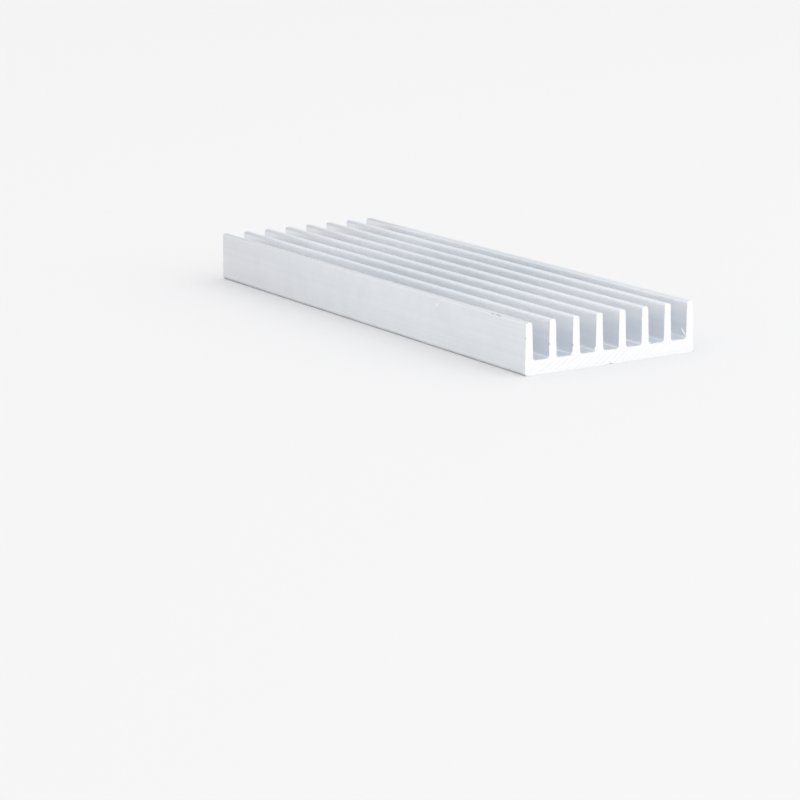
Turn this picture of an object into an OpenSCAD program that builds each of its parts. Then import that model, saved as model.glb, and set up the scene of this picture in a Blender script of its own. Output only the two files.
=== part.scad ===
// Finned aluminium heat sink, sawn from a straight extrusion.
// One solid: a flat base plate that carries a row of long parallel fins.
// Frame: origin under the middle of the base, +X along the fins, +Y across them, +Z up to their tips.
// All sizes are in millimetres.

/* [Overall size] */
// Length between the two sawn ends
length = 120; // [20:1:300]
// Greatest width, across the two long bottom edges
width = 38.5; // [32:0.5:80]
// Height from the underside to the fin tips
height = 10; // [6:0.5:40]

/* [Base plate] */
// Thickness of the plate under the grooves
base_t = 2.75; // [1.5:0.05:5]
// Radius of the two long bottom edges
edge_r = 0.6; // [0.1:0.05:1.2]
// Width of the V-shaped centre line along the underside
score_w = 0.7; // [0.3:0.05:2]
// Depth of the centre line
score_d = 0.25; // [0.1:0.05:1]

/* [Fins] */
// Number of fins
fin_count = 8; // [2:1:8]
// Thickness of a fin where it meets the plate
fin_root_t = 1.7; // [1.4:0.05:2.5]
// Thickness of a fin at its tip, less than at the root so that the metal leaves its die
fin_tip_t = 1.35; // [0.6:0.05:1.7]
// Radius of the two edges of each fin tip
tip_r = 0.5; // [0.1:0.05:0.8]
// Radius of the fillets at the bottom of each groove
root_r = 0.55; // [0.1:0.05:1.2]

/* [Hidden] */
$fn = 48;
// How far one outline runs into or past another, where they overlap
over = 0.2;
// How much larger an arc is drawn than it is, so that it crosses the straights that it rounds off
cross = 0.00002;
// Lean of every flank from upright
draft = atan((fin_root_t - fin_tip_t) / 2 / (height - base_t));
// A rounded tip edge stays within its fin
tip_edge_r = min(tip_r, 0.45 * fin_tip_t);
tip_z = height - tip_edge_r;
// Where the outer flank stands at height z, measured from the middle of the bottom edge's arc
function outer_flank(z) = edge_r / cos(draft) - (z - edge_r) * tan(draft);
edge_y = width / 2 - edge_r;
// Distance from one fin to the next: the outer fins' flanks run on down the plate's sides
pitch = (2 * (edge_y + outer_flank(base_t)) - fin_root_t) / (fin_count - 1);
// Half the width of a groove at height z
function groove_half(z) = (pitch - fin_root_t) / 2 + (z - base_t) * tan(draft);
// The fillets of a groove stay within its floor
fillet_r = min(root_r, 0.9 * groove_half(base_t));

// The point where an arc of radius r about [y, z] touches a straight whose normal leans by a degrees
function touch(y, z, r, a) = [y + r * cos(a), z + r * sin(a)];

// Half of the block that the grooves are cut into: underside, bottom edge, outer flank and tip edge
module half_block() {
    tip_y = outer_flank(tip_z) - tip_edge_r / cos(draft);
    translate([edge_y, 0]) {
        polygon([
            [-edge_y - over, 0], [0, 0], touch(0, edge_r, edge_r, draft),
            touch(tip_y, tip_z, tip_edge_r, draft), [tip_y, height], [-edge_y - over, height]
        ]);
        translate([0, edge_r]) circle(r = edge_r + cross);
        translate([tip_y, tip_z]) circle(r = tip_edge_r + cross);
    }
}

// One groove about its own middle: rounded floor, leaning flanks, and the rounded tips that it passes
module groove() {
    floor_y = groove_half(base_t + fillet_r) - fillet_r / cos(draft);
    tip_y = groove_half(tip_z) + tip_edge_r / cos(draft);
    right_side = [
        [floor_y, base_t], touch(floor_y, base_t + fillet_r, fillet_r, -draft),
        touch(tip_y, tip_z, tip_edge_r, 180 - draft), [tip_y, tip_z], [tip_y, height + over]
    ];
    left_side = [for (i = [len(right_side) - 1 : -1 : 0]) [-right_side[i].x, right_side[i].y]];
    difference() {
        union() {
            polygon(concat(right_side, left_side));
            for (side = [-1, 1])
                translate([side * floor_y, base_t + fillet_r]) circle(r = fillet_r + cross);
        }
        for (side = [-1, 1])
            translate([side * tip_y, tip_z]) circle(r = tip_edge_r + cross);
    }
}

// The V-shaped line under the middle of the plate
module centre_line() {
    polygon([
        [-score_w / 2, -over], [-score_w / 2, 0], [0, score_d],
        [score_w / 2, 0], [score_w / 2, -over]
    ]);
}

// The whole section, as the die shapes it
module section() {
    difference() {
        union() {
            half_block();
            mirror([1, 0]) half_block();
        }
        for (i = [0 : fin_count - 2])
            translate([(i - (fin_count - 2) / 2) * pitch, 0]) groove();
        centre_line();
    }
}

module heat_sink() {
    color([0.80, 0.83, 0.86])
        rotate([90, 0, 90])
            linear_extrude(height = length, center = true) section();
}

heat_sink();
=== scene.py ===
# %% [markdown]
# # An extruded heat sink, finished in cells
#
# The part is one length of extruded aluminium: a flat plate with eight upright fins, sawn off square at
# both ends. Its CAD solid holds the true section. A plain copy of that section would look moulded,
# because what makes a real bar look real is how it was made. The die leaves long fine lines, the saw
# leaves arcs and burrs, and handling leaves nicks and a dull film. This lesson places the camera and
# makes the finishes first. Then it builds the bar in the order of its making: section, sweep, saw cut,
# burrs and nicks. The floor and the light come last.
#
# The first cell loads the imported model, which is the fixed frame that everything else is measured from.

# %% Load the frame
import math

import bmesh
import bpy
from mathutils import Euler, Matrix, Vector
from mathutils.bvhtree import BVHTree


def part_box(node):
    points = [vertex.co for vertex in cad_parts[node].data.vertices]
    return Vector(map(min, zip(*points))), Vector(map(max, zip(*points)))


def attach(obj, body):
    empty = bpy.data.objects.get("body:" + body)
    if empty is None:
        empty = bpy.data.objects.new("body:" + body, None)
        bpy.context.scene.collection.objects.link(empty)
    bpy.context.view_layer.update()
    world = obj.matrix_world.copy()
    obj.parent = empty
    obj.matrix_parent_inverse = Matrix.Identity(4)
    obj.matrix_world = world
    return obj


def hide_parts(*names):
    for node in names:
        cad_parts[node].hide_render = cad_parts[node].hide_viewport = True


MM = 0.001
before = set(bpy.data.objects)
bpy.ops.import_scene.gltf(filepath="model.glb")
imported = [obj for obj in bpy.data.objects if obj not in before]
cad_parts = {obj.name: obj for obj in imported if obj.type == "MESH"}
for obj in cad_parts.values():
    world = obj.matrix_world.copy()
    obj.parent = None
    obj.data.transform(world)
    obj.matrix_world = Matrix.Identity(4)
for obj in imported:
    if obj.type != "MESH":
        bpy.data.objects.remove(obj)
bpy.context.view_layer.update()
bar_low, bar_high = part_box("heat_sink")
bar_size = bar_high - bar_low
print("bar, mm:", [round(side / MM, 2) for side in bar_size])

# %% [markdown]
# ## Nodes from one function
#
# Both the shape and the finishes are node trees. A tree written out by hand repeats three things for
# every node: make it, set it, link it. One function does all three. It takes a node's inputs in order or
# by name, and each may be a number, a socket, or another node, which stands for that node's first output
# in use.

# %% A function that adds a node
def feed(tree, socket, value):
    """Sets this socket to a number, or links it to a socket or to a node's first output in use."""
    if isinstance(value, bpy.types.Node):
        value = next(one for one in value.outputs if one.enabled)
    if isinstance(value, bpy.types.NodeSocket):
        tree.links.new(value, socket)
    elif value is not None:
        socket.default_value = value


def add(tree, kind, feeds=(), **settings):
    """Adds a node of this kind, with its settings, and feeds its inputs."""
    node = tree.nodes.new(kind)
    for setting, value in settings.items():
        setattr(node, setting, value)
    shown = [socket for socket in node.inputs if socket.enabled]
    named = feeds.items() if isinstance(feeds, dict) else enumerate(feeds)
    for key, value in named:
        if isinstance(key, int):
            socket = shown[key]
        else:
            socket = next(one for one in shown if one.name == key)
        feed(tree, socket, value)
    return node


MATH = "ShaderNodeMath"
VECTOR = "ShaderNodeVectorMath"
NOISE = "ShaderNodeTexNoise"
RANGE = "ShaderNodeMapRange"

# %% [markdown]
# ## The camera
#
# The bar is seen from near one sawn end, a little above, so the section shows as a comb and the fins run
# away in long lines. A long lens keeps those lines nearly parallel. The camera's place is in the bar's
# own frame. It looks down by 13 degrees and is tilted by less than one, as a hand-held camera is.

# %% Place the camera
eye = Vector((452.8, -282.0, 106.0)) * MM
heading, dip, roll = 59.01, 13.13, -0.71
lens_mm = 118.85

camera_data = bpy.data.cameras.new("camera")
camera_data.lens = lens_mm
camera_data.clip_start = 10 * MM
camera_data.clip_end = 20
camera = bpy.data.objects.new("camera", camera_data)
bpy.context.scene.collection.objects.link(camera)
turn = Euler((0, 0, math.radians(heading))).to_matrix()
turn @= Euler((math.radians(90 - dip), 0, 0)).to_matrix()
turn @= Euler((0, 0, math.radians(roll))).to_matrix()
camera.location = eye
camera.rotation_euler = turn.to_euler()
bpy.context.scene.camera = camera
print("camera stands", round(eye.length / MM), "mm from the bar")

# %% [markdown]
# ## The finishes
#
# Mill-finish aluminium is bare metal as it left the press: no anodising and no paint. The die drags fine
# lines along it, so a reflection smears across the lines and stays clearer along them, and a thin oxide
# film makes it a little dull and patchy. The sawn ends are the same metal, freshly torn: paler, rougher
# and crossed by saw marks. Colours are written as sRGB hex values, and one function turns them linear.

# %% Colours
def colour(hex_value):
    """An sRGB hex value as linear red, green, blue and alpha."""
    parts = [int(hex_value[i : i + 2], 16) / 255 for i in (1, 3, 5)]
    linear = [p / 12.92 if p <= 0.04045 else ((p + 0.055) / 1.055) ** 2.4 for p in parts]
    return (*linear, 1)


def new_material(name):
    """A material with an empty node tree."""
    material = bpy.data.materials.new(name)
    material.use_nodes = True
    material.node_tree.nodes.clear()
    return material, material.node_tree


# %% [markdown]
# ### Lines from the die, and haze
#
# Every rough spot on the die's edge draws a line as long as the bar. An image of scratches could be laid
# on, but it would stretch and show its repeats. Noise makes the lines at any size if it is read across
# the section only, so X is squeezed to almost nothing before the noise reads it, and each spot is drawn
# out into a line. Two spacings are mixed: fine lines, and broad ones that still show from a distance.
# Another noise, the same in all directions, is the patchy haze of the oxide. All three read Object
# coordinates, so they stay on the metal and need no unwrapping.

# %% Extruded mill-finish aluminium: its patterns
mill_finish, tree = new_material("extruded_mill_finish_aluminium")
place = add(tree, "ShaderNodeTexCoord").outputs["Object"]
along_squeeze = 0.004
squeezed = add(tree, "ShaderNodeMapping", {"Vector": place, "Scale": (along_squeeze, 1, 1)})
# Real die lines are 0.02 to 0.1 mm apart. These are drawn coarser, so that they show.
fine_spacing, broad_spacing, haze_size = 0.35 * MM, 1.1 * MM, 9 * MM
broad_weight = 1.5
fine_lines = add(tree, NOISE, {"Vector": squeezed, "Scale": 1 / fine_spacing, "Detail": 3.0})
broad_lines = add(tree, NOISE, {"Vector": squeezed, "Scale": 1 / broad_spacing, "Detail": 2.0})
lines = add(tree, MATH, [broad_lines, broad_weight, fine_lines], operation="MULTIPLY_ADD")
haze = add(tree, NOISE, {"Vector": place, "Scale": 1 / haze_size, "Detail": 4.0, "Roughness": 0.7})
print("lines", fine_spacing / MM, "and", broad_spacing / MM, "mm apart")
print("haze", haze_size / MM, "mm across")

# %% [markdown]
# ### Painted light and shade by height
#
# Inside a groove the metal is as clean as the day it was pressed. Its colour is painted lighter and
# darker by
# height, in place of light and shade: the floor is dark with painted shade, the fillets and flanks above
# it are paler, and the strip under the tips is the brightest, a painted highlight. Each could be a
# material of its own, but then the shades would meet in hard lines. A colour ramp that is read by height
# puts each shade in its place and blends them.

# %% Painted light and shade inside a groove
spot = add(tree, "ShaderNodeSeparateXYZ", [place])
height_share = add(tree, MATH, [spot.outputs["Z"], bar_size.z], operation="DIVIDE")
# Each painted shade with its height in mm: painted shade at the floor, painted highlight under the tip.
groove_painted_shades = [
    (2.82, "#DEE2E8"),  # floor
    (3.00, "#F3F6FA"),  # fillet and foot of a fin
    (6.50, "#F4F7FB"),
    (8.30, "#FAFCFE"),
    (9.00, "#FCFDFE"),  # strip under the tip
]
shaded_by_height = add(tree, "ShaderNodeValToRGB", [height_share])
stops = shaded_by_height.color_ramp.elements
while len(stops) < len(groove_painted_shades):
    stops.new(1)
for stop, (height, shade) in zip(stops, groove_painted_shades):
    stop.position = height * MM / bar_size.z
    stop.color = colour(shade)
print("shades in a groove:", len(groove_painted_shades))

# %% [markdown]
# ### Film, and painted shade on the outside
#
# The two long sides wear a patchy film, and its darker tone there is partly painted shade, for the darker
# surroundings that they reflect. The tips are painted darker, a painted shade that dims their highlight,
# and the crests of the outer fins darkest of all. To lay these on, masks say how far a place is on a
# side, at a tip or at a crest, from 0 to 1. Each mask is worked out from the coordinates, so nothing is
# painted by hand.

# %% Film and painted shade on the sides and tips
side_depth, outer_fin_depth = 0.65 * MM, 2 * MM
tip_from, tip_full = 9.4 * MM, 9.8 * MM
crest_from, crest_full = 9.75 * MM, 9.95 * MM
from_middle = add(tree, MATH, [spot.outputs["Y"]], operation="ABSOLUTE")
on_side = add(tree, MATH, [from_middle, bar_size.y / 2 - side_depth], operation="GREATER_THAN")
inside = add(tree, MATH, [1.0, on_side], operation="SUBTRACT")
on_outer_fin = add(
    tree, MATH, [from_middle, bar_size.y / 2 - outer_fin_depth], operation="GREATER_THAN"
)
at_tip = add(tree, RANGE, {"Value": spot.outputs["Z"], "From Min": tip_from, "From Max": tip_full})
at_crest = add(tree, RANGE, {"Value": spot.outputs["Z"], "From Min": crest_from, "From Max": crest_full})
outside = add(tree, MATH, [on_side, at_tip], operation="MAXIMUM")
inner_tip = add(tree, MATH, [at_tip, on_outer_fin], operation="SUBTRACT", use_clamp=True)
outer_crest = add(tree, MATH, [on_outer_fin, at_crest], operation="MULTIPLY")
# The film's tone on the sides is partly painted shade; #E1E5EB on the inner tips and #D8DADE on the outer
# crests are painted shade.
film_and_shade = add(tree, "ShaderNodeMix", [haze, colour("#E0E4E9"), colour("#F5F8FA")], data_type="RGBA")
filmed_and_shaded = add(tree, "ShaderNodeMix", [outside, shaded_by_height, film_and_shade], data_type="RGBA")
tips_shaded = add(tree, "ShaderNodeMix", [inner_tip, filmed_and_shaded, colour("#E1E5EB")], data_type="RGBA")
crests_shaded = add(tree, "ShaderNodeMix", [outer_crest, tips_shaded, colour("#D8DADE")], data_type="RGBA")
print("film on the outer", side_depth / MM, "mm and from", tip_from / MM, "mm up")

# %% [markdown]
# ### Darker round the middle and towards the -X end
#
# The grooves are a little darker round the middle of the bar and towards its -X end, and the sides grow
# darker towards that end. These shades are multiplied over the colour, as glaze over paint, so that what
# is under them still shows. The die lines come last and darken it in streaks.

# %% Darker middle, darker -X end and streaks
# The grooves round the middle and at the -X end, and the sides towards that end, are painted darker.
dim_middle_from, dim_middle_full = 40 * MM, 8 * MM
inside_from, side_from, far_end_full = -38 * MM, 15 * MM, -60 * MM
streak_from, streak_full, streak_shade = 0.9, 1.6, 0.96
along = spot.outputs["X"]
off_middle = add(tree, MATH, [along], operation="ABSOLUTE")
dim_middle_share = add(tree, RANGE, {"Value": off_middle, "From Min": dim_middle_from, "From Max": dim_middle_full})
dim_middle = add(tree, MATH, [dim_middle_share, inside], operation="MULTIPLY")
far_end_inside = add(tree, RANGE, {"Value": along, "From Min": inside_from, "From Max": far_end_full})
far_end_side = add(tree, RANGE, {"Value": along, "From Min": side_from, "From Max": far_end_full})
far_end_share = add(tree, "ShaderNodeMix", [on_side, far_end_inside, far_end_side], data_type="FLOAT")
far_end_shade = add(
    tree, "ShaderNodeMix", [on_side, colour("#E7E6E8"), colour("#F7F5F5")], data_type="RGBA"
)
streaks = add(
    tree,
    RANGE,
    {"Value": lines, "From Min": streak_from, "From Max": streak_full, "To Min": streak_shade},
)
shaded = crests_shaded
for share, shade in ((dim_middle, colour("#F8F9FA")), (far_end_share, far_end_shade), (1.0, streaks)):
    shaded = add(
        tree, "ShaderNodeMix", [share, shaded, shade], data_type="RGBA", blend_type="MULTIPLY"
    )
print("grip from", dim_middle_from / MM, "mm, held end from", side_from / MM, "mm")

# %% [markdown]
# ### Shine
#
# Metal has no colour of its own under the shine: the shine is the colour, so Metallic is 1. The roughness
# follows the haze, and the strip under the tips is smoother. Lines blur a reflection across themselves
# more than along. Bump alone would show that only if its lines were as fine as real ones, so Anisotropic
# does it. It blurs most along the tangent, so the tangent has to run across the lines, and the U of the
# bar's own UV map does.

# %% Its shine
haze_low, haze_high = 0.3, 0.7
smoothest, roughest = 0.52, 0.62
strip_from, strip_full, strip_gloss = 7.6 * MM, 9.0 * MM, 0.12
dullness = add(
    tree,
    RANGE,
    {
        "Value": haze,
        "From Min": haze_low,
        "From Max": haze_high,
        "To Min": smoothest,
        "To Max": roughest,
    },
)
strip_share = add(
    tree,
    RANGE,
    {
        "Value": spot.outputs["Z"],
        "From Min": strip_from,
        "From Max": strip_full,
        "To Max": strip_gloss,
    },
)
smoother = add(tree, MATH, [strip_share, inside], operation="MULTIPLY")
roughness = add(tree, MATH, [dullness, smoother], operation="SUBTRACT")
relief = add(tree, "ShaderNodeBump", {"Strength": 0.3, "Distance": 0.01 * MM, "Height": lines})
across = add(tree, "ShaderNodeTangent", direction_type="UV_MAP", uv_map="UVMap")
metal = add(
    tree,
    "ShaderNodeBsdfPrincipled",
    {
        "Base Color": shaded,
        "Metallic": 1.0,
        "Roughness": roughness,
        "Normal": relief,
        "Anisotropic": 0.5,
        "Tangent": across,
    },
)
add(tree, "ShaderNodeOutputMaterial", {"Surface": metal})
print("finish:", mill_finish.name)

# %% [markdown]
# ### Sawn aluminium
#
# A circular saw turns about a centre well off the bar, so its teeth leave arcs across the end. The mesh
# will carry the deep ones. The shader adds the fine ones, one for each tooth or so, as a sine of the
# distance from the blade's centre, shaken by a little noise. Torn metal is paler and has a fine grain.

# %% Sawn aluminium
blade_centre = Vector((0, -70, 100)) * MM
tooth_spacing, shake_size, grain_size = 0.3 * MM, 2 * MM, 0.25 * MM
tooth_weight, torn_low, torn_high = 0.35, 0.1, 0.9
sawn_metal, tree = new_material("sawn_aluminium")
place = add(tree, "ShaderNodeTexCoord").outputs["Object"]
flat_place = add(tree, VECTOR, [place, (0, 1, 1)], operation="MULTIPLY")
from_centre = add(tree, VECTOR, [flat_place, blade_centre], operation="DISTANCE").outputs["Value"]
shake = add(tree, NOISE, {"Vector": place, "Scale": 1 / shake_size, "Detail": 2.0})
shaken = add(tree, MATH, [shake, 2 * tooth_spacing, from_centre], operation="MULTIPLY_ADD")
tooth_phase = add(tree, MATH, [shaken, math.tau / tooth_spacing], operation="MULTIPLY")
tooth_marks = add(tree, MATH, [tooth_phase], operation="SINE")
grain = add(tree, NOISE, {"Vector": place, "Scale": 1 / grain_size, "Detail": 3.0})
torn = add(tree, MATH, [tooth_marks, tooth_weight, grain], operation="MULTIPLY_ADD")
torn_share = add(tree, RANGE, {"Value": torn, "From Min": torn_low, "From Max": torn_high})
torn_metal = add(
    tree, "ShaderNodeMix", [torn_share, colour("#E7E8E9"), colour("#F5F5F5")], data_type="RGBA"
)
relief = add(tree, "ShaderNodeBump", {"Strength": 0.4, "Distance": 0.02 * MM, "Height": torn})
metal = add(
    tree,
    "ShaderNodeBsdfPrincipled",
    {"Base Color": torn_metal, "Metallic": 1.0, "Roughness": 0.55, "Normal": relief},
)
add(tree, "ShaderNodeOutputMaterial", {"Surface": metal})
print("finish:", sawn_metal.name, "with arcs", tooth_spacing / MM, "mm apart")

# %% [markdown]
# ### Painted shade in the nicks
#
# Where the bar was knocked, the scar is painted grey: painted shade, for the shadow in a small hollow. It
# is the same metal with a dull grey on it, so it is half way between a metal and a powder.

# %% Painted shade in the nicks
nick_shade_size = 0.2 * MM
nick_shade_metal, tree = new_material("nick_shaded_aluminium")
place = add(tree, "ShaderNodeTexCoord").outputs["Object"]
nick_shade_noise = add(tree, NOISE, {"Vector": place, "Scale": 1 / nick_shade_size, "Detail": 2.0})
# The grey is painted shade in the nicks.
nick_shade_colour = add(tree, "ShaderNodeMix", [nick_shade_noise, colour("#A6AAB0"), colour("#CBCFD4")], data_type="RGBA")
metal = add(
    tree,
    "ShaderNodeBsdfPrincipled",
    {"Base Color": nick_shade_colour, "Metallic": 0.5, "Roughness": 0.7},
)
add(tree, "ShaderNodeOutputMaterial", {"Surface": metal})
print("finish:", nick_shade_metal.name)

# %% [markdown]
# ## The section, as a rule
#
# The section is not a drawing but a rule: a corner at each side of each fin's tip, one at each side of
# each groove's floor, and five along the underside, where a shallow line marks the middle. Geometry Nodes
# number the corners and work out each one's place from that number. The inputs are the sizes that a die
# maker would ask for, then how fine the mesh is and how deep the die and the saw mark it. The length,
# width and height come from the frame, so the bar can't drift away from its CAD solid.

# %% Sizes of the bar
bar_inputs = {
    "Length": bar_size.x,
    "Width": bar_size.y,
    "Height": bar_size.z,
    "Base thickness": 2.75 * MM,
    "Fins": 8,
    "Fin root": 1.7 * MM,
    "Fin tip": 1.35 * MM,
    "Edge radius": 0.6 * MM,
    "Tip radius": 0.5 * MM,
    "Root radius": 0.55 * MM,
    "Line width": 0.7 * MM,
    "Line depth": 0.25 * MM,
    "Outline step": 0.22 * MM,
    "Rings": 53,
    "Die line depth": 0.004 * MM,
    "Cut inset": 0.06 * MM,
    "Saw mark spacing": 0.8 * MM,
    "Saw mark depth": 0.015 * MM,
    "Burr reach": 0.35 * MM,
    "Burr height": 0.15 * MM,
    "Seed": 0,
}
bar_tree = bpy.data.node_groups.new("extruded_bar", "GeometryNodeTree")
bar_tree.interface.new_socket("Bar", in_out="OUTPUT", socket_type="NodeSocketGeometry")
identifiers = {}
for label, value in bar_inputs.items():
    socket_type = "NodeSocketInt" if isinstance(value, int) else "NodeSocketFloat"
    new_input = bar_tree.interface.new_socket(label, in_out="INPUT", socket_type=socket_type)
    identifiers[label] = new_input.identifier
size = add(bar_tree, "NodeGroupInput").outputs
bar_out = add(bar_tree, "NodeGroupOutput")
bar_draft = bpy.data.objects.new("bar_draft", bpy.data.meshes.new("bar_draft"))
bpy.context.scene.collection.objects.link(bar_draft)
builder = bar_draft.modifiers.new("builder", "NODES")
builder.node_group = bar_tree
for label, value in bar_inputs.items():
    builder[identifiers[label]] = value
print("inputs:", len(identifiers))


# %% [markdown]
# A tree that is built in steps can be looked at in steps. This helper ends the tree at any stage, and
# prints how many points and faces it gives so far and the box that they fill.

# %% A look at any stage
def show(stage, what):
    """Ends the tree at this stage and says what it gives so far."""
    bar_tree.links.new(stage.outputs[0], bar_out.inputs[0])
    bar_draft.update_tag()
    seen = bar_draft.evaluated_get(bpy.context.evaluated_depsgraph_get())
    mesh = bpy.data.meshes.new_from_object(seen)
    print(what, len(mesh.vertices), "points,", len(mesh.polygons), "faces")
    corners = [vertex.co for vertex in mesh.vertices]
    if corners:
        low = [min(corner[i] for corner in corners) / MM for i in range(3)]
        high = [max(corner[i] for corner in corners) / MM for i in range(3)]
        print("   from", [round(v, 3) for v in low], "to", [round(v, 3) for v in high])
    bpy.data.meshes.remove(mesh)


# %% [markdown]
# ### Pitch and taper
#
# A fin is thinner at its tip so that it leaves the die, and the outer fins' flanks run on down the sides
# of the plate to the bottom edges. That one straight line fixes everything else: its slope comes from the
# two thicknesses, its foot from the width, and what is left between the outer fins is shared out as the
# pitch.

# %% Pitch and taper
rise = add(bar_tree, MATH, [size["Height"], size["Base thickness"]], operation="SUBTRACT")
narrowing = add(bar_tree, MATH, [size["Fin root"], size["Fin tip"]], operation="SUBTRACT")
both_slopes = add(bar_tree, MATH, [narrowing, rise], operation="DIVIDE")
slope = add(bar_tree, MATH, [both_slopes, 0.5], operation="MULTIPLY")
above_edge = add(bar_tree, MATH, [size["Base thickness"], size["Edge radius"]], operation="SUBTRACT")
drawn_in = add(bar_tree, MATH, [above_edge, slope], operation="MULTIPLY")
half_width = add(bar_tree, MATH, [size["Width"], 0.5], operation="MULTIPLY")
half_at_root = add(bar_tree, MATH, [half_width, drawn_in], operation="SUBTRACT")
half_under = add(bar_tree, MATH, [size["Base thickness"], slope, half_at_root], operation="MULTIPLY_ADD")
half_root = add(bar_tree, MATH, [size["Fin root"], 0.5], operation="MULTIPLY")
half_tip = add(bar_tree, MATH, [size["Fin tip"], 0.5], operation="MULTIPLY")
half_span = add(bar_tree, MATH, [half_at_root, half_root], operation="SUBTRACT")
gaps = add(bar_tree, MATH, [size["Fins"], 1], operation="SUBTRACT")
half_gaps = add(bar_tree, MATH, [gaps, 0.5], operation="MULTIPLY")
pitch = add(bar_tree, MATH, [half_span, half_gaps], operation="DIVIDE")
print("pitch and taper:", len(bar_tree.nodes), "nodes")

# %% [markdown]
# ### Corners by number
#
# Going round the section over the top, every fin adds the same four corners: two at its tip and two on
# the groove floor after it, so a corner's number divided by four gives its fin and the remainder gives
# its kind. The last fin has no groove after it. Its two spare numbers, and three more, become the
# underside.

# %% Number the corners
per_fin = 4
under_count = 5
number = add(bar_tree, "GeometryNodeInputIndex")
above_count = add(bar_tree, MATH, [size["Fins"], per_fin, -2], operation="MULTIPLY_ADD")
corner_count = add(bar_tree, MATH, [above_count, under_count], operation="ADD")
is_above = add(bar_tree, MATH, [number, above_count], operation="LESS_THAN")
in_fin = add(bar_tree, MATH, [number, per_fin], operation="MODULO")
past_above = add(bar_tree, MATH, [number, above_count], operation="SUBTRACT")
in_under = add(bar_tree, MATH, [past_above, per_fin], operation="ADD")
kind_of_corner = add(bar_tree, "GeometryNodeSwitch", [is_above, in_under, in_fin], input_type="INT")
fin_share = add(bar_tree, MATH, [number, per_fin], operation="DIVIDE")
fin_number = add(bar_tree, MATH, [fin_share], operation="FLOOR")
fin_from_middle = add(bar_tree, MATH, [fin_number, half_gaps], operation="SUBTRACT")
fin_centre = add(bar_tree, MATH, [fin_from_middle, pitch], operation="MULTIPLY")
shift = add(bar_tree, MATH, [fin_centre, is_above], operation="MULTIPLY")
print("corners:", per_fin * bar_inputs["Fins"] - 2, "above and", under_count, "under")

# %% [markdown]
# Index Switch is the look-up table of Geometry Nodes: the kind of corner picks its distance across, its
# height and its radius, from three short columns that can be read like a drawing's table.

# %% Look up each corner's place and radius
left_of_tip = add(bar_tree, MATH, [half_tip, -1], operation="MULTIPLY")
next_root = add(bar_tree, MATH, [pitch, half_root], operation="SUBTRACT")
half_line = add(bar_tree, MATH, [size["Line width"], 0.5], operation="MULTIPLY")
left_of_line = add(bar_tree, MATH, [half_line, -1], operation="MULTIPLY")
left_under = add(bar_tree, MATH, [half_under, -1], operation="MULTIPLY")
top, floor_level = size["Height"], size["Base thickness"]
tip_r, root_r, edge_r = size["Tip radius"], size["Root radius"], size["Edge radius"]
above_across = [left_of_tip, half_tip, half_root, next_root]
under_across = [half_under, half_line, 0, left_of_line, left_under]
corner_columns = {
    "across": above_across + under_across,
    "up": [top, top, floor_level, floor_level, 0, 0, size["Line depth"], 0, 0],
    "radius": [tip_r, tip_r, root_r, root_r, edge_r, 0, 0, 0, edge_r],
}
looked_up = {}
for column, entries in corner_columns.items():
    table = add(bar_tree, "GeometryNodeIndexSwitch", data_type="FLOAT")
    while len(table.index_switch_items) < len(entries):
        table.index_switch_items.new()
    for key, entry in enumerate([kind_of_corner, *entries]):
        feed(bar_tree, table.inputs[key], entry)
    looked_up[column] = table
print("kinds of corner:", len(corner_columns["up"]))

# %% [markdown]
# One line of points is moved onto the corners and closed into a loop. Fillet Curve then rounds it. It
# reads the radius from each corner, so the sharp corners of the line under the plate stay sharp.

# %% Close and round the section
across_bar = add(bar_tree, MATH, [looked_up["across"], shift], operation="ADD")
corner_place = add(bar_tree, "ShaderNodeCombineXYZ", [across_bar, looked_up["up"], 0])
corner_row = add(
    bar_tree, "GeometryNodeMeshLine", {"Count": corner_count, "Offset": (MM, 0, 0)}, mode="OFFSET"
)
corner_path = add(bar_tree, "GeometryNodeMeshToCurve", {"Mesh": corner_row})
corner_loop = add(bar_tree, "GeometryNodeSetSplineCyclic", {"Geometry": corner_path, "Cyclic": True})
sharp_section = add(
    bar_tree, "GeometryNodeSetPosition", {"Geometry": corner_loop, "Position": corner_place}
)
arc_steps = 6
rounded = add(
    bar_tree,
    "GeometryNodeFilletCurve",
    {"Curve": sharp_section, "Radius": looked_up["radius"], "Count": arc_steps},
    mode="POLY",
)
print("steps in each arc:", arc_steps)

# %% [markdown]
# Die lines and burrs will move points, so the long straights need some. Each stretch is cut into steps of
# the same length, by measuring how far it is to the next point.

# %% Walk round the outline in short steps
here = add(bar_tree, "GeometryNodeInputPosition")
next_point = add(bar_tree, "GeometryNodeOffsetPointInCurve", {"Offset": 1}).outputs["Point Index"]
there = add(bar_tree, "GeometryNodeFieldAtIndex", [here, next_point], data_type="FLOAT_VECTOR")
edge_length = add(bar_tree, VECTOR, [here, there], operation="DISTANCE").outputs["Value"]
steps = add(bar_tree, MATH, [edge_length, size["Outline step"]], operation="DIVIDE")
cuts = add(bar_tree, MATH, [steps], operation="FLOOR")
section = add(bar_tree, "GeometryNodeSubdivideCurve", {"Curve": rounded, "Cuts": cuts})
outline = add(bar_tree, "GeometryNodeCurveToMesh", {"Curve": section})
show(outline, "outline:")
bar_tree.nodes.remove(outline)

# %% [markdown]
# ### Sweep
#
# An extrusion is a sweep along a straight rail, so Curve to Mesh is the press. Extrude Mesh would do it
# too, but a rail can crowd its rings towards the ends, where burrs and nicks need fine faces, and spread
# them in the middle, where nothing changes along the bar. The rail is tilted half a turn so that the
# section stands the right way up, and the faces are flipped to point outwards.

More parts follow.
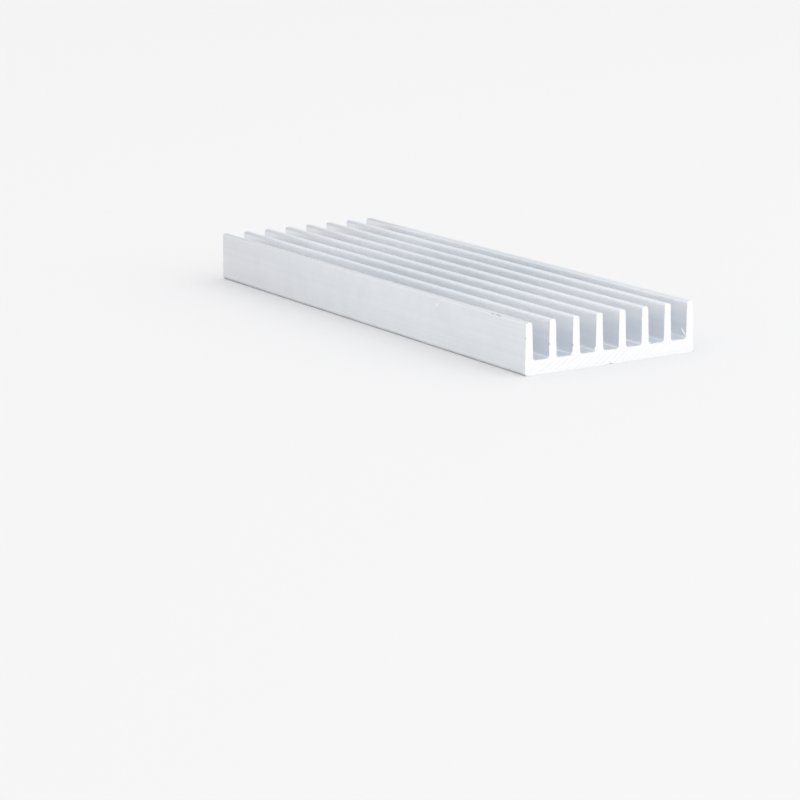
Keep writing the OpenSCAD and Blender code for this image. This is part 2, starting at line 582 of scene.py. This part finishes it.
# %% Sweep
crowding = 2.5
ring_number = add(bar_tree, "GeometryNodeInputIndex")
last_ring = add(bar_tree, MATH, [size["Rings"], 1], operation="SUBTRACT")
half_rings = add(bar_tree, MATH, [last_ring, 0.5], operation="MULTIPLY")
ring_share = add(bar_tree, MATH, [ring_number, half_rings], operation="DIVIDE")
way = add(bar_tree, MATH, [ring_share, 1], operation="SUBTRACT")
end_sign = add(bar_tree, MATH, [way], operation="SIGN")
way_out = add(bar_tree, MATH, [way], operation="ABSOLUTE")
way_in = add(bar_tree, MATH, [1, way_out], operation="SUBTRACT")
crowded = add(bar_tree, MATH, [way_in, crowding], operation="POWER")
reach_out = add(bar_tree, MATH, [1, crowded], operation="SUBTRACT")
signed = add(bar_tree, MATH, [reach_out, end_sign], operation="MULTIPLY")
half_length = add(bar_tree, MATH, [size["Length"], 0.5], operation="MULTIPLY")
ring_x = add(bar_tree, MATH, [signed, half_length], operation="MULTIPLY")
ring_place = add(bar_tree, "ShaderNodeCombineXYZ", [ring_x, 0, 0])
ring_row = add(
    bar_tree, "GeometryNodeMeshLine", {"Count": size["Rings"], "Offset": (MM, 0, 0)}, mode="OFFSET"
)
ring_path = add(bar_tree, "GeometryNodeMeshToCurve", {"Mesh": ring_row})
rail_line = add(bar_tree, "GeometryNodeSetPosition", {"Geometry": ring_path, "Position": ring_place})
rail = add(bar_tree, "GeometryNodeSetCurveTilt", {"Curve": rail_line, "Tilt": math.pi})
inside_out = add(
    bar_tree,
    "GeometryNodeCurveToMesh",
    {"Curve": rail, "Profile Curve": section, "Fill Caps": True},
)
swept = add(bar_tree, "GeometryNodeFlipFaces", {"Mesh": inside_out})
show(swept, "swept bar:")

# %% [markdown]
# ### Draw it through the die
#
# The deepest die lines are real grooves a few thousandths of a millimetre deep. The finish has them as
# bump, which doesn't change an outline, so the deepest are cut into the mesh as well. Every point is
# pushed inwards by a noise that is read across the section only. The push is never outwards, so the bar
# stays in its box.

# %% Draw it through the die
die_wave = 0.6 * MM
point = add(bar_tree, "GeometryNodeInputPosition")
outward = add(bar_tree, "GeometryNodeInputNormal")
section_point = add(bar_tree, VECTOR, [point, (0, 1, 1)], operation="MULTIPLY")
die_noise = add(
    bar_tree,
    NOISE,
    {"Vector": section_point, "W": size["Seed"], "Scale": 1 / die_wave, "Detail": 2.0},
    noise_dimensions="4D",
)
below_full = add(bar_tree, MATH, [die_noise, 1], operation="SUBTRACT")
die_depth = add(bar_tree, MATH, [below_full, size["Die line depth"]], operation="MULTIPLY")
die_push = add(bar_tree, VECTOR, {"Vector": outward, "Scale": die_depth}, operation="SCALE")
drawn = add(bar_tree, "GeometryNodeSetPosition", {"Geometry": swept, "Offset": die_push})
show(drawn, "drawn bar:")

# %% [markdown]
# ### Saw it to length
#
# The saw is a block that keeps what is inside it. Its two end faces are fine grids, rippled by the same
# arcs as the shader's, only wider apart and deep enough to catch the light. The ripple is a sine of the
# distance from the blade's centre, and a noise makes it wander as a hand-fed saw does.

# %% A block with sawn faces
blank_margin, wander_size = 2 * MM, 3 * MM
# The grid's faces are 0.2 mm wide, four to each saw mark.
blank_grid = {"Vertices X": 2, "Vertices Y": 203, "Vertices Z": 61}
inset_twice = add(bar_tree, MATH, [size["Cut inset"], -2, size["Length"]], operation="MULTIPLY_ADD")
blank_width = add(bar_tree, MATH, [size["Width"], blank_margin], operation="ADD")
blank_height = add(bar_tree, MATH, [size["Height"], blank_margin], operation="ADD")
blank_size = add(bar_tree, "ShaderNodeCombineXYZ", [inset_twice, blank_width, blank_height])
blank = add(bar_tree, "GeometryNodeMeshCube", {"Size": blank_size, **blank_grid})
half_height = add(bar_tree, MATH, [size["Height"], 0.5], operation="MULTIPLY")
blade_point = add(bar_tree, VECTOR, [point, (0, 1, 1)], operation="MULTIPLY")
from_blade = add(
    bar_tree, VECTOR, [blade_point, blade_centre], operation="DISTANCE"
).outputs["Value"]
wander = add(
    bar_tree,
    NOISE,
    {"Vector": point, "W": size["Seed"], "Scale": 1 / wander_size, "Detail": 2.0},
    noise_dimensions="4D",
)
wandered = add(
    bar_tree, MATH, [wander, size["Saw mark spacing"], from_blade], operation="MULTIPLY_ADD"
)
turns = add(bar_tree, MATH, [wandered, size["Saw mark spacing"]], operation="DIVIDE")
phase = add(bar_tree, MATH, [turns, math.tau], operation="MULTIPLY")
ripple = add(bar_tree, MATH, [phase], operation="SINE")
ripple_size = add(bar_tree, MATH, [ripple, size["Saw mark depth"]], operation="MULTIPLY")
axes = add(bar_tree, "ShaderNodeSeparateXYZ", [point])
end_side = add(bar_tree, MATH, [axes.outputs["X"]], operation="SIGN")
saw_push = add(bar_tree, MATH, [ripple_size, end_side], operation="MULTIPLY")
saw_offset = add(bar_tree, "ShaderNodeCombineXYZ", [saw_push, 0, half_height])
saw_blank = add(bar_tree, "GeometryNodeSetPosition", {"Geometry": blank, "Offset": saw_offset})
show(saw_blank, "saw block:")

# %% [markdown]
# An exact Mesh Boolean cuts the bar with the block and carries the block's material onto the new ends, so
# the cut needs no painting. Both sides are given their materials before they meet.

# %% Cut the bar with it
sawn_faces = add(bar_tree, "GeometryNodeSetMaterial", {"Geometry": saw_blank, "Material": sawn_metal})
drawn_faces = add(bar_tree, "GeometryNodeSetMaterial", {"Geometry": drawn, "Material": mill_finish})
sawn = add(
    bar_tree, "GeometryNodeMeshBoolean", {"Mesh": drawn_faces}, operation="INTERSECT", solver="EXACT"
)
feed(bar_tree, sawn.inputs["Mesh 2"], sawn_faces)
show(sawn, "sawn bar:")

# %% [markdown]
# ### Raise the burrs
#
# A saw drags metal over the edge that it leaves. Burrs could be modelled one by one, but there are
# hundreds, and no two alike, so a noise makes them. Close to each cut, no further away than the reach of
# a burr, it pushes the outline in and out, so that no fin ends in a ruled line. The push fades to nothing
# with a smooth step, and keeps to the section's plane.

# %% Raise the burrs
ragged_size = 0.8 * MM
from_end = add(bar_tree, MATH, [axes.outputs["X"]], operation="ABSOLUTE")
cut_at = add(bar_tree, MATH, [inset_twice, 0.5], operation="MULTIPLY")
fade_from = add(bar_tree, MATH, [cut_at, size["Burr reach"]], operation="SUBTRACT")
near_cut = add(
    bar_tree,
    RANGE,
    {"Value": from_end, "From Min": fade_from, "From Max": cut_at},
    interpolation_type="SMOOTHSTEP",
)
sideways = add(bar_tree, VECTOR, [outward, (0, 1, 1)], operation="MULTIPLY")
ragged = add(
    bar_tree,
    NOISE,
    {
        "Vector": point,
        "W": size["Seed"],
        "Scale": 1 / ragged_size,
        "Detail": 4.0,
        "Roughness": 0.65,
    },
    noise_dimensions="4D",
)
ragged_out = add(bar_tree, MATH, [ragged, 0.5], operation="SUBTRACT")
burr_share = add(bar_tree, MATH, [ragged_out, near_cut], operation="MULTIPLY")
burr_size = add(bar_tree, MATH, [burr_share, size["Burr height"]], operation="MULTIPLY")
burr_push = add(bar_tree, VECTOR, {"Vector": sideways, "Scale": burr_size}, operation="SCALE")
burred = add(bar_tree, "GeometryNodeSetPosition", {"Geometry": sawn, "Offset": burr_push})
show(burred, "burred bar:")

# %% [markdown]
# ## Nicks, scuffs and torn bits
#
# What a noise can't give is the marks that this one bar has: bites out of its edges, two scuffs along the
# tip of the outer fin and a ridge on its side, lumps of torn metal at the cut, and a sliver of swarf that
# clings in the last groove. Each is a small rough grain that lies on the metal from one point to another.
# A bite takes the grain away and leaves a grey in its place, painted shade for the hollow, a worn spot
# does the same but stays clean, and a lump joins the grain on.
#
# The grains have to lie on the metal, so first comes a rule that says where a fin's surface is at any
# height. It is the section's own rule, with the rounded tip and root.

# %% Where a fin's surface lies
fins = bar_inputs["Fins"]
base = bar_inputs["Base thickness"]
taper = (bar_inputs["Fin root"] - bar_inputs["Fin tip"]) / 2 / (bar_size.z - base)
flank_at_base = bar_size.y / 2 - (base - bar_inputs["Edge radius"]) * taper
fin_pitch = (2 * flank_at_base - bar_inputs["Fin root"]) / (fins - 1)
near_end = bar_size.x / 2


def surface_point(fin, side, back, height):
    """A point on a fin's surface, so far back from the near end and so high. Side is -1 or 1."""
    tip, root = bar_inputs["Tip radius"], bar_inputs["Root radius"]
    into_tip = max(0, height - (bar_size.z - tip))
    into_root = max(0, base + root - height)
    half = bar_inputs["Fin root"] / 2 - (height - base) * taper
    half -= tip - math.sqrt(tip**2 - into_tip**2)
    half += root - math.sqrt(root**2 - into_root**2)
    return Vector((near_end - back, (fin - (fins + 1) / 2) * fin_pitch + side * half, height))


print("pitch of the fins, mm:", round(fin_pitch / MM, 3))

# %% [markdown]
# The marks are listed: which fin, which side of it, and from where to where. The fins are counted
# from the -Y side, and the near end is the one at +X. Each grain starts as a ball that a sine makes
# uneven. It is stretched, and turned to point along its way.

# %% The marks of this bar
# A row is the fin, its side, where the mark starts and ends, and its radius. Places are (mm back from
# the near end, mm up), and the radius is in mm.
marks = {
    "bites": [
        (1, -1, (0.06, 6.90), (0.06, 7.35), 0.16),
        (2, -1, (0.12, 5.15), (0.12, 5.60), 0.21),
        (3, -1, (0.12, 4.25), (0.12, 4.90), 0.20),
        (1, -1, (11.90, 9.80), (10.80, 9.82), 0.10),
        (1, -1, (10.30, 9.84), (8.40, 9.80), 0.12),
    ],
    "worn": [
        (1, -1, (1.80, 9.94), (-0.30, 9.92), 0.23),
        (1, 1, (1.20, 9.95), (-0.30, 9.93), 0.20),
    ],
    "lumps": [
        (4, -1, (0.20, 2.95), (0.20, 3.60), 0.18),
        (6, -1, (0.18, 7.50), (0.18, 7.85), 0.16),
        (6, 1, (0.22, 2.86), (0.22, 2.80), 0.20),
        (3, -1, (0.16, 2.82), (0.16, 3.30), 0.13),
        (1, -1, (30.75, 7.65), (30.75, 8.80), 0.22),
        (8, -1, (1.75, 4.63), (0.15, 3.13), 0.11),
    ],
}
for kind, rows in marks.items():
    print(kind, len(rows))

# %% [markdown]
# The function makes one mesh of grains from the kinds that it is given, each kind with its own material,
# so that a Boolean has a single mesh to work with. Many small operands would be much slower.

# %% Make the grains
def grains(name, kinds):
    """One mesh of small rough grains, each lying on the surface from one point to another."""
    uneven, waves = 0.12, (5, 7, 3)
    shape = bmesh.new()
    rows = [(slot, row) for slot, kind in enumerate(kinds) for row in marks[kind]]
    for slot, (fin, side, start, end, radius) in rows:
        ends = [surface_point(fin, side, back * MM, up * MM) for back, up in (start, end)]
        middle = (ends[0] + ends[1]) / 2
        along = ends[1] - ends[0]
        turned = along.to_track_quat("Z", "Y").to_matrix()
        half_sizes = (radius * MM, radius * MM, max(along.length / 2, radius * MM))
        ball = bmesh.ops.create_icosphere(shape, subdivisions=2, radius=1)
        for vertex in ball["verts"]:
            phase_here = sum(wave * c for wave, c in zip(waves, vertex.co)) + fin
            rough = 1 + uneven * math.sin(phase_here)
            stretched = [c * rough * half for c, half in zip(vertex.co, half_sizes)]
            vertex.co = middle + turned @ Vector(stretched)
            for face in vertex.link_faces:
                face.material_index = slot
    mesh = bpy.data.meshes.new(name)
    shape.to_mesh(mesh)
    shape.free()
    for material in kinds.values():
        mesh.materials.append(material)
    made = bpy.data.objects.new(name, mesh)
    bpy.context.scene.collection.objects.link(made)
    return made


hollows = grains("hollows", {"bites": nick_shade_metal, "worn": mill_finish})
lumps = grains("lumps", {"lumps": sawn_metal})
for made in (hollows, lumps):
    print(made.name, len(made.data.polygons), "faces")

# %% [markdown]
# Object Info brings each set of grains into the tree, and two more exact Booleans take the bites away and
# join the lumps on.

# %% Take out the bites and join the lumps
bitten = add(
    bar_tree, "GeometryNodeMeshBoolean", {"Mesh 1": burred}, operation="DIFFERENCE", solver="EXACT"
)
marked = add(bar_tree, "GeometryNodeMeshBoolean", {"Mesh": bitten}, operation="UNION", solver="EXACT")
for shapes, cut in ((hollows, bitten), (lumps, marked)):
    brought = add(bar_tree, "GeometryNodeObjectInfo", {"Object": shapes}, transform_space="ORIGINAL")
    feed(bar_tree, cut.inputs["Mesh 2"], brought.outputs["Geometry"])
show(marked, "marked bar:")

# %% [markdown]
# ### Press it into its own box
#
# Burrs stick out, but the finished bar has to stay inside the box of its CAD solid, and flat on what it
# stands on. Any point past a side of the box is moved back to it, as a bench would press a burr flat.
# Points that have come to lie together are then welded, which takes out most of the slivers that Booleans
# leave.

# %% Press it into its own box
half_box = add(bar_tree, "ShaderNodeCombineXYZ", [half_length, half_width, half_height])
low_corner = add(bar_tree, VECTOR, [half_box, (-1, -1, 0)], operation="MULTIPLY")
raised = add(bar_tree, VECTOR, [point, low_corner], operation="MAXIMUM")
high_corner = add(bar_tree, VECTOR, [half_box, (1, 1, 2)], operation="MULTIPLY")
kept_in = add(bar_tree, VECTOR, [raised, high_corner], operation="MINIMUM")
pressed = add(bar_tree, "GeometryNodeSetPosition", {"Geometry": marked, "Position": kept_in})
weld_reach = 0.0005 * MM
welded = add(bar_tree, "GeometryNodeMergeByDistance", {"Geometry": pressed, "Distance": weld_reach})
show(welded, "pressed bar:")

# %% [markdown]
# ### Shade it and lay out its surface
#
# Edges that turn by more than 35 degrees stay sharp, so the cuts are crisp and the rounded tips are
# smooth. The UV map is the bar unrolled by facing: V is the length, and U is the height on the walls and
# the width on the floors. That is all that the shine needs, because it only asks which way U runs.

# %% Shade it and lay out its surface
crease = math.radians(35)
edge_turn = add(bar_tree, "GeometryNodeInputMeshEdgeAngle").outputs["Unsigned Angle"]
is_soft = add(bar_tree, MATH, [edge_turn, crease], operation="LESS_THAN")
smooth = add(
    bar_tree, "GeometryNodeSetShadeSmooth", {"Geometry": welded, "Shade Smooth": True}, domain="FACE"
)
creased = add(
    bar_tree,
    "GeometryNodeSetShadeSmooth",
    {"Geometry": smooth, "Shade Smooth": is_soft},
    domain="EDGE",
)
face_way = add(
    bar_tree,
    "GeometryNodeFieldOnDomain",
    {"Value": outward},
    data_type="FLOAT_VECTOR",
    domain="FACE",
)
face_share = add(bar_tree, VECTOR, [face_way], operation="ABSOLUTE")
facing = add(bar_tree, "ShaderNodeSeparateXYZ", [face_share])
is_wall = add(bar_tree, MATH, [facing.outputs["Y"], facing.outputs["Z"]], operation="GREATER_THAN")
unrolled = add(
    bar_tree,
    "GeometryNodeSwitch",
    [is_wall, axes.outputs["Y"], axes.outputs["Z"]],
    input_type="FLOAT",
)
layout = add(bar_tree, "ShaderNodeCombineXYZ", [unrolled, axes.outputs["X"], 0])
laid_out = add(
    bar_tree,
    "GeometryNodeStoreNamedAttribute",
    {"Geometry": creased, "Name": "UVMap", "Value": layout},
    data_type="FLOAT2",
    domain="CORNER",
)
print("sharp edges turn by more than", round(math.degrees(crease)), "degrees")

# %% [markdown]
# ### A torn rim
#
# The last ragged tenths of a millimetre before each cut are torn metal too, not mill finish. The noise
# that raised the burrs picks them, so the rim is torn where the burr is high. The tree ends with Realize
# Instances, so that it gives one plain mesh, and with the Set Material that turns those faces.

# %% Turn the rim to torn metal
torn_above = 0.37
realized = add(bar_tree, "GeometryNodeRealizeInstances", {"Geometry": laid_out})
rim_share = add(bar_tree, MATH, [near_cut, ragged], operation="MULTIPLY")
is_torn = add(bar_tree, MATH, [rim_share, torn_above], operation="GREATER_THAN")
finished = add(
    bar_tree,
    "GeometryNodeSetMaterial",
    {"Geometry": realized, "Selection": is_torn, "Material": sawn_metal},
)
show(finished, "finished bar:")

# %% [markdown]
# ### A plain mesh
#
# The tree has done its work. What it gives is copied into a plain mesh, so that nothing in it is live,
# and the draft and the grains are removed. The new piece stands for the CAD node, which is hidden, and
# rides on the one body.

# %% Make it a plain mesh
evaluated = bar_draft.evaluated_get(bpy.context.evaluated_depsgraph_get())
bar = bpy.data.objects.new("finned_bar", bpy.data.meshes.new_from_object(evaluated))
bar.data.name = "finned_bar"
bpy.context.scene.collection.objects.link(bar)
for helper in (bar_draft, hollows, lumps):
    bpy.data.objects.remove(helper)
bar.data.calc_loop_triangles()
print("bar:", len(bar.data.loop_triangles), "triangles,", [m.name for m in bar.data.materials])
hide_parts("heat_sink")
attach(bar, "root")

# %% [markdown]
# ### Is it still the same bar?
#
# A mesh that stands for a solid should be measured against it. Three numbers tell: how many edges don't
# have exactly two faces, which should be none on a closed shell; the volume, which should be a little
# under the solid's; and how far any point lies from the solid's skin, which should be no more than the
# biggest mark.

# %% Measure it against its CAD solid
check = bmesh.new()
check.from_mesh(bar.data)
open_edges = sum(1 for edge in check.edges if len(edge.link_faces) != 2)
solid = bmesh.new()
solid.from_mesh(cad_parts["heat_sink"].data)
volumes = [round(shape.calc_volume() / MM**3) for shape in (check, solid)]
skin = BVHTree.FromBMesh(solid)
farthest = max(skin.find_nearest(vertex.co)[3] for vertex in check.verts)
print("open edges:", open_edges)
print("volume, mm3:", volumes[0], "of the solid's", volumes[1])
print("farthest from the solid, mm:", round(farthest / MM, 3))
check.free()
solid.free()

# %% [markdown]
# ## The floor
#
# A plain card, far wider than the bar, so that its edge stays out of sight even from low down. It is matt
# and slightly grey, which keeps it a shade darker than the bright sawn end that stands on it. It belongs
# to the stage, not to the part.

# %% Floor
floor_half = 6
floor_mesh = bpy.data.meshes.new("floor")
floor_corners = [(x * floor_half, y * floor_half, 0) for x, y in ((-1, -1), (1, -1), (1, 1), (-1, 1))]
floor_mesh.from_pydata(floor_corners, [], [(0, 1, 2, 3)])
floor = bpy.data.objects.new("floor", floor_mesh)
bpy.context.scene.collection.objects.link(floor)
matt_white, tree = new_material("matt_white_card")
card = add(
    tree,
    "ShaderNodeBsdfPrincipled",
    {"Base Color": colour("#CDCDCE"), "Roughness": 0.9, "Specular IOR Level": 0.2},
)
add(tree, "ShaderNodeOutputMaterial", {"Surface": card})
floor_mesh.materials.append(matt_white)
print("floor:", 2 * floor_half, "m wide")

# %% [markdown]
# ## The light
#
# Bare metal shows the room more than itself, so the light is mostly a bright room: a white world,
# brightest overhead, and nearly twice as bright on the side that the near end faces as on the side behind
# the bar. Low down it is even all round, so that the floor has no dark side.

# %% A bright room
world = bpy.data.worlds.new("white_room")
bpy.context.scene.world = world
world.use_nodes = True
tree = world.node_tree
tree.nodes.clear()
overhead_from, level_strength, overhead_strength = 0.1, 1.12, 2.12
dim_side, bright_side = 0.6, 1.05
bright_way = (0.93, 0.37, 0)
even_below, sided_above = 0.14, 0.3
sky_way = add(tree, "ShaderNodeTexCoord").outputs["Generated"]
up_share = add(tree, "ShaderNodeSeparateXYZ", [sky_way]).outputs["Z"]
overhead = add(
    tree,
    RANGE,
    {
        "Value": up_share,
        "From Min": overhead_from,
        "To Min": level_strength,
        "To Max": overhead_strength,
    },
)
towards = add(tree, VECTOR, [sky_way, bright_way], operation="DOT_PRODUCT").outputs["Value"]
one_side = add(
    tree, RANGE, {"Value": towards, "From Min": -1.0, "To Min": dim_side, "To Max": bright_side}
)
above_low = add(
    tree, RANGE, {"Value": up_share, "From Min": even_below, "From Max": sided_above}
)
sided = add(tree, "ShaderNodeMix", [above_low, 1.0, one_side], data_type="FLOAT")
strength = add(tree, MATH, [overhead, sided], operation="MULTIPLY")
room = add(tree, "ShaderNodeBackground", {"Color": colour("#FFFFFF"), "Strength": strength})
add(tree, "ShaderNodeOutputWorld", {"Surface": room})
print("room:", level_strength, "to", overhead_strength)

# %% [markdown]
# One soft lamp adds to the bright side, and lifts the near end to white. Blender's Standard view shows
# the colours as they are, where its filmic ones would grey the whites.

# %% Lamp
def soft_light(name, place, aim, side, power):
    """A square soft light at a place, turned to the point that it lights."""
    data = bpy.data.lights.new(name, "AREA")
    data.energy = power
    data.size = side
    light = bpy.data.objects.new(name, data)
    light.location = place
    light.rotation_euler = (Vector(aim) - Vector(place)).to_track_quat("-Z", "Y").to_euler()
    bpy.context.scene.collection.objects.link(light)
    return light


key = soft_light("key", place=(0.9, 0.5, 0.4), aim=(0, 0, 0), side=0.6, power=1.6)
bpy.context.scene.view_settings.view_transform = "Standard"
print("lamp:", key.name, "of", key.data.energy, "W")
